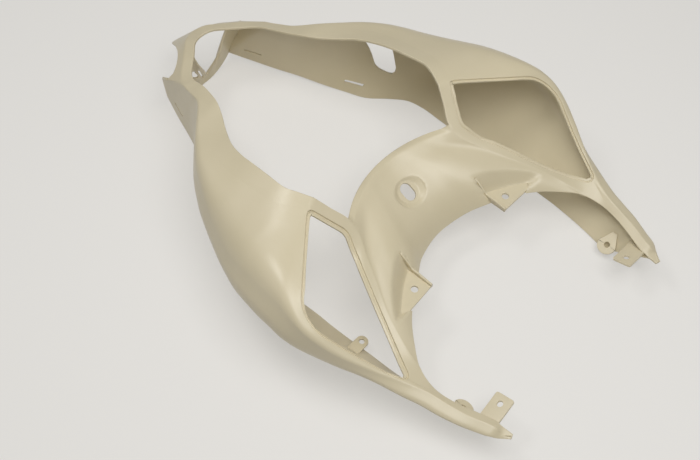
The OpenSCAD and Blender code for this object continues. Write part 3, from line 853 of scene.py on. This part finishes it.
def new_tree(name):
    """An empty node material and its output."""
    made = bpy.data.materials.new(name)
    made.use_nodes = True
    made.node_tree.nodes.clear()
    return made, made.node_tree, made.node_tree.nodes.new("ShaderNodeOutputMaterial")


print("cream in linear light:", np.round(linear("#D9CEB2")[:3], 3))

# %% Cream moulded ABS
CREAM, CREAM_CLOUD = "#D9CEB2", "#D1C6A7"
CLOUD_MM, WAVE_MM, GRAIN_MM, SCUFF_MM = 55.0, 26.0, 0.9, 7.0
SMOOTHEST, DULLEST = 0.31, 0.36
WAVE_HEIGHT_MM, GRAIN_HEIGHT_MM = 0.35, 0.02
ABS_IOR = 1.53


def per_mm(size):
    """Noise scale for features of this size: the coordinates are in metres."""
    return 1 / (size * MM)


def cream_abs():
    """Cloudy cream colour, semi-gloss that varies a little, and two heights of bump."""
    made, tree, out = new_tree("moulded_cream_abs")
    place = node(tree, "ShaderNodeTexCoord").outputs["Object"]
    cloud = node(tree, "ShaderNodeTexNoise", links={"Vector": place},
                 inputs={"Scale": per_mm(CLOUD_MM), "Detail": 3.0, "Roughness": 0.55})
    colour = node(tree, "ShaderNodeMix", {"data_type": "RGBA"})
    tree.links.new(cloud.outputs["Fac"], colour.inputs["Factor"])
    colour.inputs[6].default_value = linear(CREAM)
    colour.inputs[7].default_value = linear(CREAM_CLOUD)
    scuff = node(tree, "ShaderNodeTexNoise", links={"Vector": place},
                 inputs={"Scale": per_mm(SCUFF_MM), "Detail": 4.0, "Roughness": 0.6})
    gloss = node(tree, "ShaderNodeMapRange", links={"Value": scuff.outputs["Fac"]},
                 inputs={"From Min": 0.3, "From Max": 0.7, "To Min": SMOOTHEST, "To Max": DULLEST})
    wave = node(tree, "ShaderNodeTexNoise", links={"Vector": place},
                inputs={"Scale": per_mm(WAVE_MM), "Detail": 1.0})
    grain = node(tree, "ShaderNodeTexNoise", links={"Vector": place},
                 inputs={"Scale": per_mm(GRAIN_MM), "Detail": 2.0})
    wavy = node(tree, "ShaderNodeBump", links={"Height": wave.outputs["Fac"]},
                inputs={"Strength": 0.6, "Distance": WAVE_HEIGHT_MM * MM})
    skin = node(tree, "ShaderNodeBump",
                links={"Height": grain.outputs["Fac"], "Normal": wavy.outputs["Normal"]},
                inputs={"Strength": 0.15, "Distance": GRAIN_HEIGHT_MM * MM})
    shader = node(tree, "ShaderNodeBsdfPrincipled",
                  inputs={"IOR": ABS_IOR, "Metallic": 0.0},
                  links={"Base Color": colour.outputs[2], "Roughness": gloss.outputs["Result"],
                         "Normal": skin.outputs["Normal"]})
    tree.links.new(shader.outputs["BSDF"], out.inputs["Surface"])
    return made


abs_plastic = cream_abs()
print("material:", abs_plastic.name)

# %% Put a worked-out surface into Blender
def moulding(name, p, t):
    """A mesh object at the origin, in metres, smooth, riding on the CAD's one body."""
    mesh = bpy.data.meshes.new(name)
    mesh.from_pydata((p * MM).tolist(), [], t.tolist())
    mesh.materials.append(abs_plastic)
    mesh.shade_smooth()
    mesh.validate()
    mesh.normals_split_custom_set_from_vertices(normals(p, t).tolist())
    made = bpy.data.objects.new(name, mesh)
    bpy.context.scene.collection.objects.link(made)
    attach(made, "root")
    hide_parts("seat_cowl")
    print(name, "has", len(t), "triangles, box", p.min(0).round(1), p.max(0).round(1))
    return made


moulding("cowl_shell", shell_p, shell_t)

# %% [markdown]
# ## Bored plates
# Tabs, lugs and bracket plates are flat, with a round bore and rounded rims. Such a
# plate is a ring: a small closed profile is stretched between the bore's circle and the
# plate's outline, and carried once round.

# %% Plates with a bore
CHAMFER = 0.5


def plate(outline, bore_r, thick, place):
    """Ring of profile points between the bore and the outline. Each outline point is
    paired with the bore point in the same direction from the centre."""
    reach = np.linalg.norm(outline, axis=1, keepdims=True)
    ray = outline / reach
    h, c = thick / 2, CHAMFER
    rings = [(0, 0, -h + c), (0, 0, h - c), (0, 0.3 * c, h - 0.3 * c), (0, c, h),
             (1, -c, h), (1, -0.3 * c, h - 0.3 * c), (1, 0, h - c), (1, 0, -h + c),
             (1, -0.3 * c, -h + 0.3 * c), (1, -c, -h), (0, c, -h), (0, 0.3 * c, -h + 0.3 * c)]
    r = np.stack([mix(bore_r, reach, end) + shift for end, shift, _ in rings])
    z = np.array([height for *_, height in rings])[:, None, None]
    local = np.concatenate([ray[None] * r, np.broadcast_to(z, r.shape)], -1)
    p = place[0] + local @ np.asarray(place[1:])
    ids = np.arange(p[..., 0].size).reshape(p.shape[:2])
    ids = np.pad(ids, ((0, 1), (0, 1)), "wrap")
    t = triangles(ids)
    area = outline[:, 0] @ np.roll(outline[:, 1], -1) - outline[:, 1] @ np.roll(outline[:, 0], -1)
    return p.reshape(-1, 3), t if area > 0 else t[:, ::-1]


def turned(about_x=0, about_y=0):
    """The three axes after a turn about X and then about Y, in degrees."""
    a, b = np.radians([about_x, about_y])
    rx = np.array([[1, 0, 0], [0, np.cos(a), -np.sin(a)], [0, np.sin(a), np.cos(a)]])
    ry = np.array([[np.cos(b), 0, np.sin(b)], [0, 1, 0], [-np.sin(b), 0, np.cos(b)]])
    return list((ry @ rx).T)


def both_sides(name, p, t):
    """The left piece as worked out, and the right one mirrored with its faces turned."""
    moulding(name + "_left", p, t)
    moulding(name + "_right", p * FLIP, t[:, ::-1])


def densify(outline, gap=1.5):
    """Adds points along the straight stretches, so that none is longer than the gap."""
    parts = []
    for a, b in zip(outline, np.roll(outline, -1, 0)):
        count = max(1, int(np.ceil(np.linalg.norm(b - a) / gap)))
        parts.append(mix(a, b, np.linspace(0, 1, count, endpoint=False)[:, None]))
    return np.concatenate(parts)


print("a 10 mm square gets", len(densify(np.array([(0, 0), (10, 0), (10, 10), (0, 10)]))), "points")

# %% Tabs and lugs of both arms and flanks
TAB_AT, TAB_TURN = np.array([288.5, 114.5, 41.0]), turned(-9, -18)
LUG_AT, LUG_TURN = np.array([258.8, 132.0, 14.6]), turned(30)
EAR_AT, EAR_TURN = np.array([130.9, 145.3, 12.7]), turned(5)
ARM_BORE_R, EAR_BORE_R, EAR_THICK = 3.25, 3.0, 2.6
TAB = [(-11, -10.25), (11, -10.25), (11, 24), (-11, 33)]
LUG = [(-11, -11), (11, -11), (11, 0), (3, 16), (-3, 16), (-11, 0)]
EAR = [(-7, -7), (7, -7), (7, 15.6), (-7, 15.6)]
tab = densify(rounded(TAB, [2.5, 2.5, 0.5, 0.5]))
lug = densify(rounded(LUG, [10.9, 10.9, 4, 0.5, 0.5, 4]))
ear = densify(rounded(EAR, [6.9, 6.9, 0.5, 0.5]))
both_sides("arm_tab", *plate(tab, ARM_BORE_R, WALL, [TAB_AT, *TAB_TURN]))
both_sides("front_lug", *plate(lug, ARM_BORE_R, WALL, [LUG_AT, *LUG_TURN]))
both_sides("flank_lug", *plate(ear, EAR_BORE_R, EAR_THICK, [EAR_AT, *EAR_TURN]))

# %% [markdown]
# ## Saddle brackets
# Each pocket ends in a flat plate that reaches forward beyond the panel's edge, with
# one bore and a rib along its inboard side. The rib starts out of the panel and gets
# lower towards the plate's corner.

# %% Bracket plates
BRACKET_AT, BRACKET_BORE_R = np.array([146.0, 79.5]), 4.0
PLATE_R, PLATE_THICK = 161.5, 3.1
PLATE_FRONT = [(157.0, 64.6), (158.0, 84.0), (158.8, 103.0)]
arc_turn = np.radians(np.linspace(138.0, 158.3, 50))
plate_arc = FAN_AT + PLATE_R * np.stack([np.cos(arc_turn), np.sin(arc_turn)], 1)
plate_outline = densify(np.vstack([PLATE_FRONT, plate_arc]) - BRACKET_AT)
plate_at = np.array([*BRACKET_AT, FLOOR_Z - PLATE_THICK / 2])
both_sides("bracket_plate", *plate(plate_outline, BRACKET_BORE_R, PLATE_THICK, [plate_at, X, Y, Z]))

# %% Ribs beside the plates
RIB_REAR, RIB_FRONT, RIB_ROUND = 112.0, 157.2, 1.3
RIB_TOP, RIB_LOW = (7.0, 3.2), 2.9


def capped_tube(rings):
    """Rings of equal count joined one to the next, with a fan of triangles on each end."""
    m, n = rings.shape[:2]
    ids = np.arange(m * n).reshape(m, n)
    ids = np.column_stack([ids, ids[:, 0]])
    first, last = m * n, m * n + 1
    caps = [np.stack([np.full(n, first), ids[0, :-1], ids[0, 1:]], 1),
            np.stack([np.full(n, last), ids[-1, 1:], ids[-1, :-1]], 1)]
    p = np.concatenate([rings.reshape(-1, 3), rings[0].mean(0)[None], rings[-1].mean(0)[None]])
    return p, np.concatenate([triangles(ids), *caps])[:, ::-1]


def panel_line(y):
    """Height of the panel along a line of constant y, as a function of x."""
    x, z = [], []
    for row in plain_panel:
        x.append(np.interp(y, row[:, 1], row[:, 0]))
        z.append(np.interp(y, row[:, 1], row[:, 2]))
    return lambda at: np.interp(at, x, z)


def rib():
    """Rounded section, 2.6 mm wide, whose top falls evenly to the plate's corner, or
    follows the panel where that is higher, and is rounded off at the front end."""
    x = np.linspace(RIB_REAR, RIB_FRONT, 46)
    falling = FLOOR_Z + mix(*RIB_TOP, (x - RIB_REAR - 1) / 44)
    top = np.maximum(panel_line(SIDE_Y - RIB_ROUND)(x) + 0.1, falling)
    top -= 0.9 * np.clip((x - RIB_FRONT + 0.9) / 0.9, 0, 1) ** 2
    low = np.full_like(x, FLOOR_Z - RIB_LOW)
    turn = np.linspace(0, np.pi, 9)
    y = SIDE_Y - 1.1 + RIB_ROUND * np.concatenate([np.cos(turn), [-1, 1]])
    z = np.concatenate([top[:, None] - 1.0 + 1.0 * np.sin(turn), low[:, None], low[:, None]], 1)
    rings = np.stack([np.repeat(x[:, None], len(y), 1), np.repeat(y[None], len(x), 0), z], -1)
    return capped_tube(rings)


both_sides("bracket_rib", *rib())

# %% [markdown]
# ## Rear apron
# Behind the opening in the beak a thin apron closes the tail between the side
# walls. It is a sheet between its bottom curve and its scalloped top edge, bowed 2.5 mm
# to the rear, with two slanted slits and two triangular windows, and it is cut and
# thickened in the same way as the main sheet.

# %% Apron sheet
APRON_EDGE = np.array([
    [-261, 0, 24], [-257, 5, 34.5], [-253, 10, 45], [-248.5, 16.6, 60], [-248, 19.2, 68],
    [-247, 22.5, 78], [-244.5, 27, 91], [-245.5, 36, 91], [-247, 46, 88], [-248.5, 55, 80],
    [-251, 60.5, 73],
])
APRON_WALL, APRON_BOW, APRON_REACH = 2.6, 2.5, 60.5
LOW_X, LOW_BACK, LOW_RISE, LOW_REACH = -269, 8.5, 10, 52
SLIT = [(3, 17), (5.5, 16), (18, 49), (15.5, 50)]
TRIANGLE = [(12, 25), (26, 35), (21.5, 52)]


def apron_sheet():
    """The lower curve runs back and up with the square of the distance from the centre
    plane. Straight lines join it to the top edge, each bowed to the rear as a parabola."""
    k = np.linspace(-10, 10, 121)
    top = through(APRON_EDGE, np.abs(k)) * np.where(k < 0, -1, 1)[:, None] ** [0, 1, 0]
    t = np.abs(top[:, 1]) / APRON_REACH
    low = np.stack([LOW_X - LOW_BACK * t ** 2, np.sign(k) * LOW_REACH * t,
                    ABOVE_FLOOR + LOW_RISE * t ** 2], 1)
    low, top = low + unit(top - low) * RIM, top - unit(top - low) * RIM
    w = np.linspace(0, 1, 41)[None, :, None]
    p = mix(low[:, None], top[:, None], w) - APRON_BOW * 4 * w * (1 - w) * X
    ids = np.arange(p[..., 0].size).reshape(p.shape[:2])
    return {"p": p.reshape(-1, 3), "t": triangles(ids)}


apron = apron_sheet()
print("apron sheet:", len(apron["p"]), "points")

# %% Cut the apron and give it its wall
REAR_VIEW = (Y, Z, X)
for side in (1, -1):
    mirror = np.array([side, 1])
    slit = rounded(np.array(SLIT) * mirror, [0.9] * 4, 4)
    triangle = rounded(np.array(TRIANGLE) * mirror, [1.5] * 3, 6)
    apron = cut_out(apron, slit, REAR_VIEW, anywhere, grow=RIM / 2)
    apron = cut_out(apron, triangle, REAR_VIEW, anywhere)
if normals(apron["p"], apron["t"])[:, 0].mean() > 0:
    apron["t"] = apron["t"][:, ::-1]
thin_rim = ROUND_RIM * [1, APRON_WALL / WALL]
moulding("rear_apron", *thicken(apron, APRON_WALL, [(anywhere, thin_rim, 2)]))

# %% [markdown]
# ## Floor and light
# The object lies on a plain pale floor. Its colour reaches the camera directly through
# Light Path, so the background stays pale without more light on the plastic, and the
# floor still takes the object's shadow. A large soft lamp above the front lights the
# piece, and a smaller one above the tail gives the long highlights on the folds, as a
# photographer's light boxes do.

# %% Floor
FLOOR_COLOUR, FLOOR_GLOW = "#E8E6E2", 0.55
FLOOR_HALF, FLOOR_GAP = 4.0, 0.0005


def seen_ray(tree, others):
    """1 for camera rays and the other named kinds: the highest of Light Path's outputs."""
    path = node(tree, "ShaderNodeLightPath")
    value = path.outputs["Is Camera Ray"]
    for name in others:
        higher = node(tree, "ShaderNodeMath", {"operation": "MAXIMUM"})
        tree.links.new(value, higher.inputs[0])
        tree.links.new(path.outputs[name], higher.inputs[1])
        value = higher.outputs[0]
    return value


def pale_floor():
    """Diffuse floor, 8 m square and 0.5 mm below the object, that is seen a little
    brighter by the camera, in reflections and through anything clear."""
    made, tree, out = new_tree("studio_floor")
    share = node(tree, "ShaderNodeMath", {"operation": "MULTIPLY"})
    tree.links.new(seen_ray(tree, ["Is Glossy Ray", "Is Transmission Ray"]), share.inputs[0])
    share.inputs[1].default_value = FLOOR_GLOW
    flat = node(tree, "ShaderNodeBsdfDiffuse", inputs={"Color": linear(FLOOR_COLOUR)})
    glow = node(tree, "ShaderNodeEmission", inputs={"Color": linear(FLOOR_COLOUR), "Strength": 1.0})
    both = node(tree, "ShaderNodeMixShader")
    tree.links.new(share.outputs[0], both.inputs[0])
    tree.links.new(flat.outputs[0], both.inputs[1])
    tree.links.new(glow.outputs[0], both.inputs[2])
    tree.links.new(both.outputs[0], out.inputs["Surface"])
    mesh = bpy.data.meshes.new("floor")
    level = float(cad_low[2]) - FLOOR_GAP
    corners = [(-1, -1), (1, -1), (1, 1), (-1, 1)]
    mesh.from_pydata([(FLOOR_HALF * x, FLOOR_HALF * y, level) for x, y in corners], [], [(0, 1, 2, 3)])
    mesh.materials.append(made)
    floor = bpy.data.objects.new("floor", mesh)
    bpy.context.scene.collection.objects.link(floor)
    return floor


print("floor at z =", round(pale_floor().data.vertices[0].co.z, 4), "m")


# %% Lamps
def lamp(name, at, aim, size, watts):
    """Rectangular area lamp that faces a point: its -Z axis is the direction to it."""
    data = bpy.data.lights.new(name, "AREA")
    data.shape, data.size, data.size_y, data.energy = "RECTANGLE", size[0], size[1], watts
    made = bpy.data.objects.new(name, data)
    bpy.context.scene.collection.objects.link(made)
    back = unit(np.array(at, float) - np.array(aim, float))
    right = unit(np.cross([0.0, 0.0, 1.0], back))
    matrix = np.eye(4)
    matrix[:3, 0], matrix[:3, 1], matrix[:3, 2], matrix[:3, 3] = right, np.cross(back, right), back, at
    made.matrix_world = Matrix(matrix.tolist())
    return made


lamp("front_light_box", (0.45, -0.15, 1.25), (0.05, 0, 0.05), (0.9, 0.8), 9.8)
lamp("rear_light_box", (-0.55, -0.22, 1.25), (0.05, -0.1, 0.1), (0.45, 0.28), 3.6)

# %% Air of the studio
AIR_COLOUR, AIR_LIGHT, AIR_SEEN = "#E4E2DE", 0.27, 0.75


def studio_air():
    """World of one pale colour: weak as a light, brighter where the camera looks at it."""
    world = bpy.data.worlds.new("studio_air")
    world.use_nodes = True
    tree = world.node_tree
    air = tree.nodes["Background"]
    air.inputs["Color"].default_value = linear(AIR_COLOUR)
    level = node(tree, "ShaderNodeMapRange", inputs={"To Min": AIR_LIGHT, "To Max": AIR_SEEN})
    tree.links.new(seen_ray(tree, ["Is Transmission Ray"]), level.inputs["Value"])
    tree.links.new(level.outputs["Result"], air.inputs["Strength"])
    return world


bpy.context.scene.world = studio_air()
print("world:", bpy.context.scene.world.name)
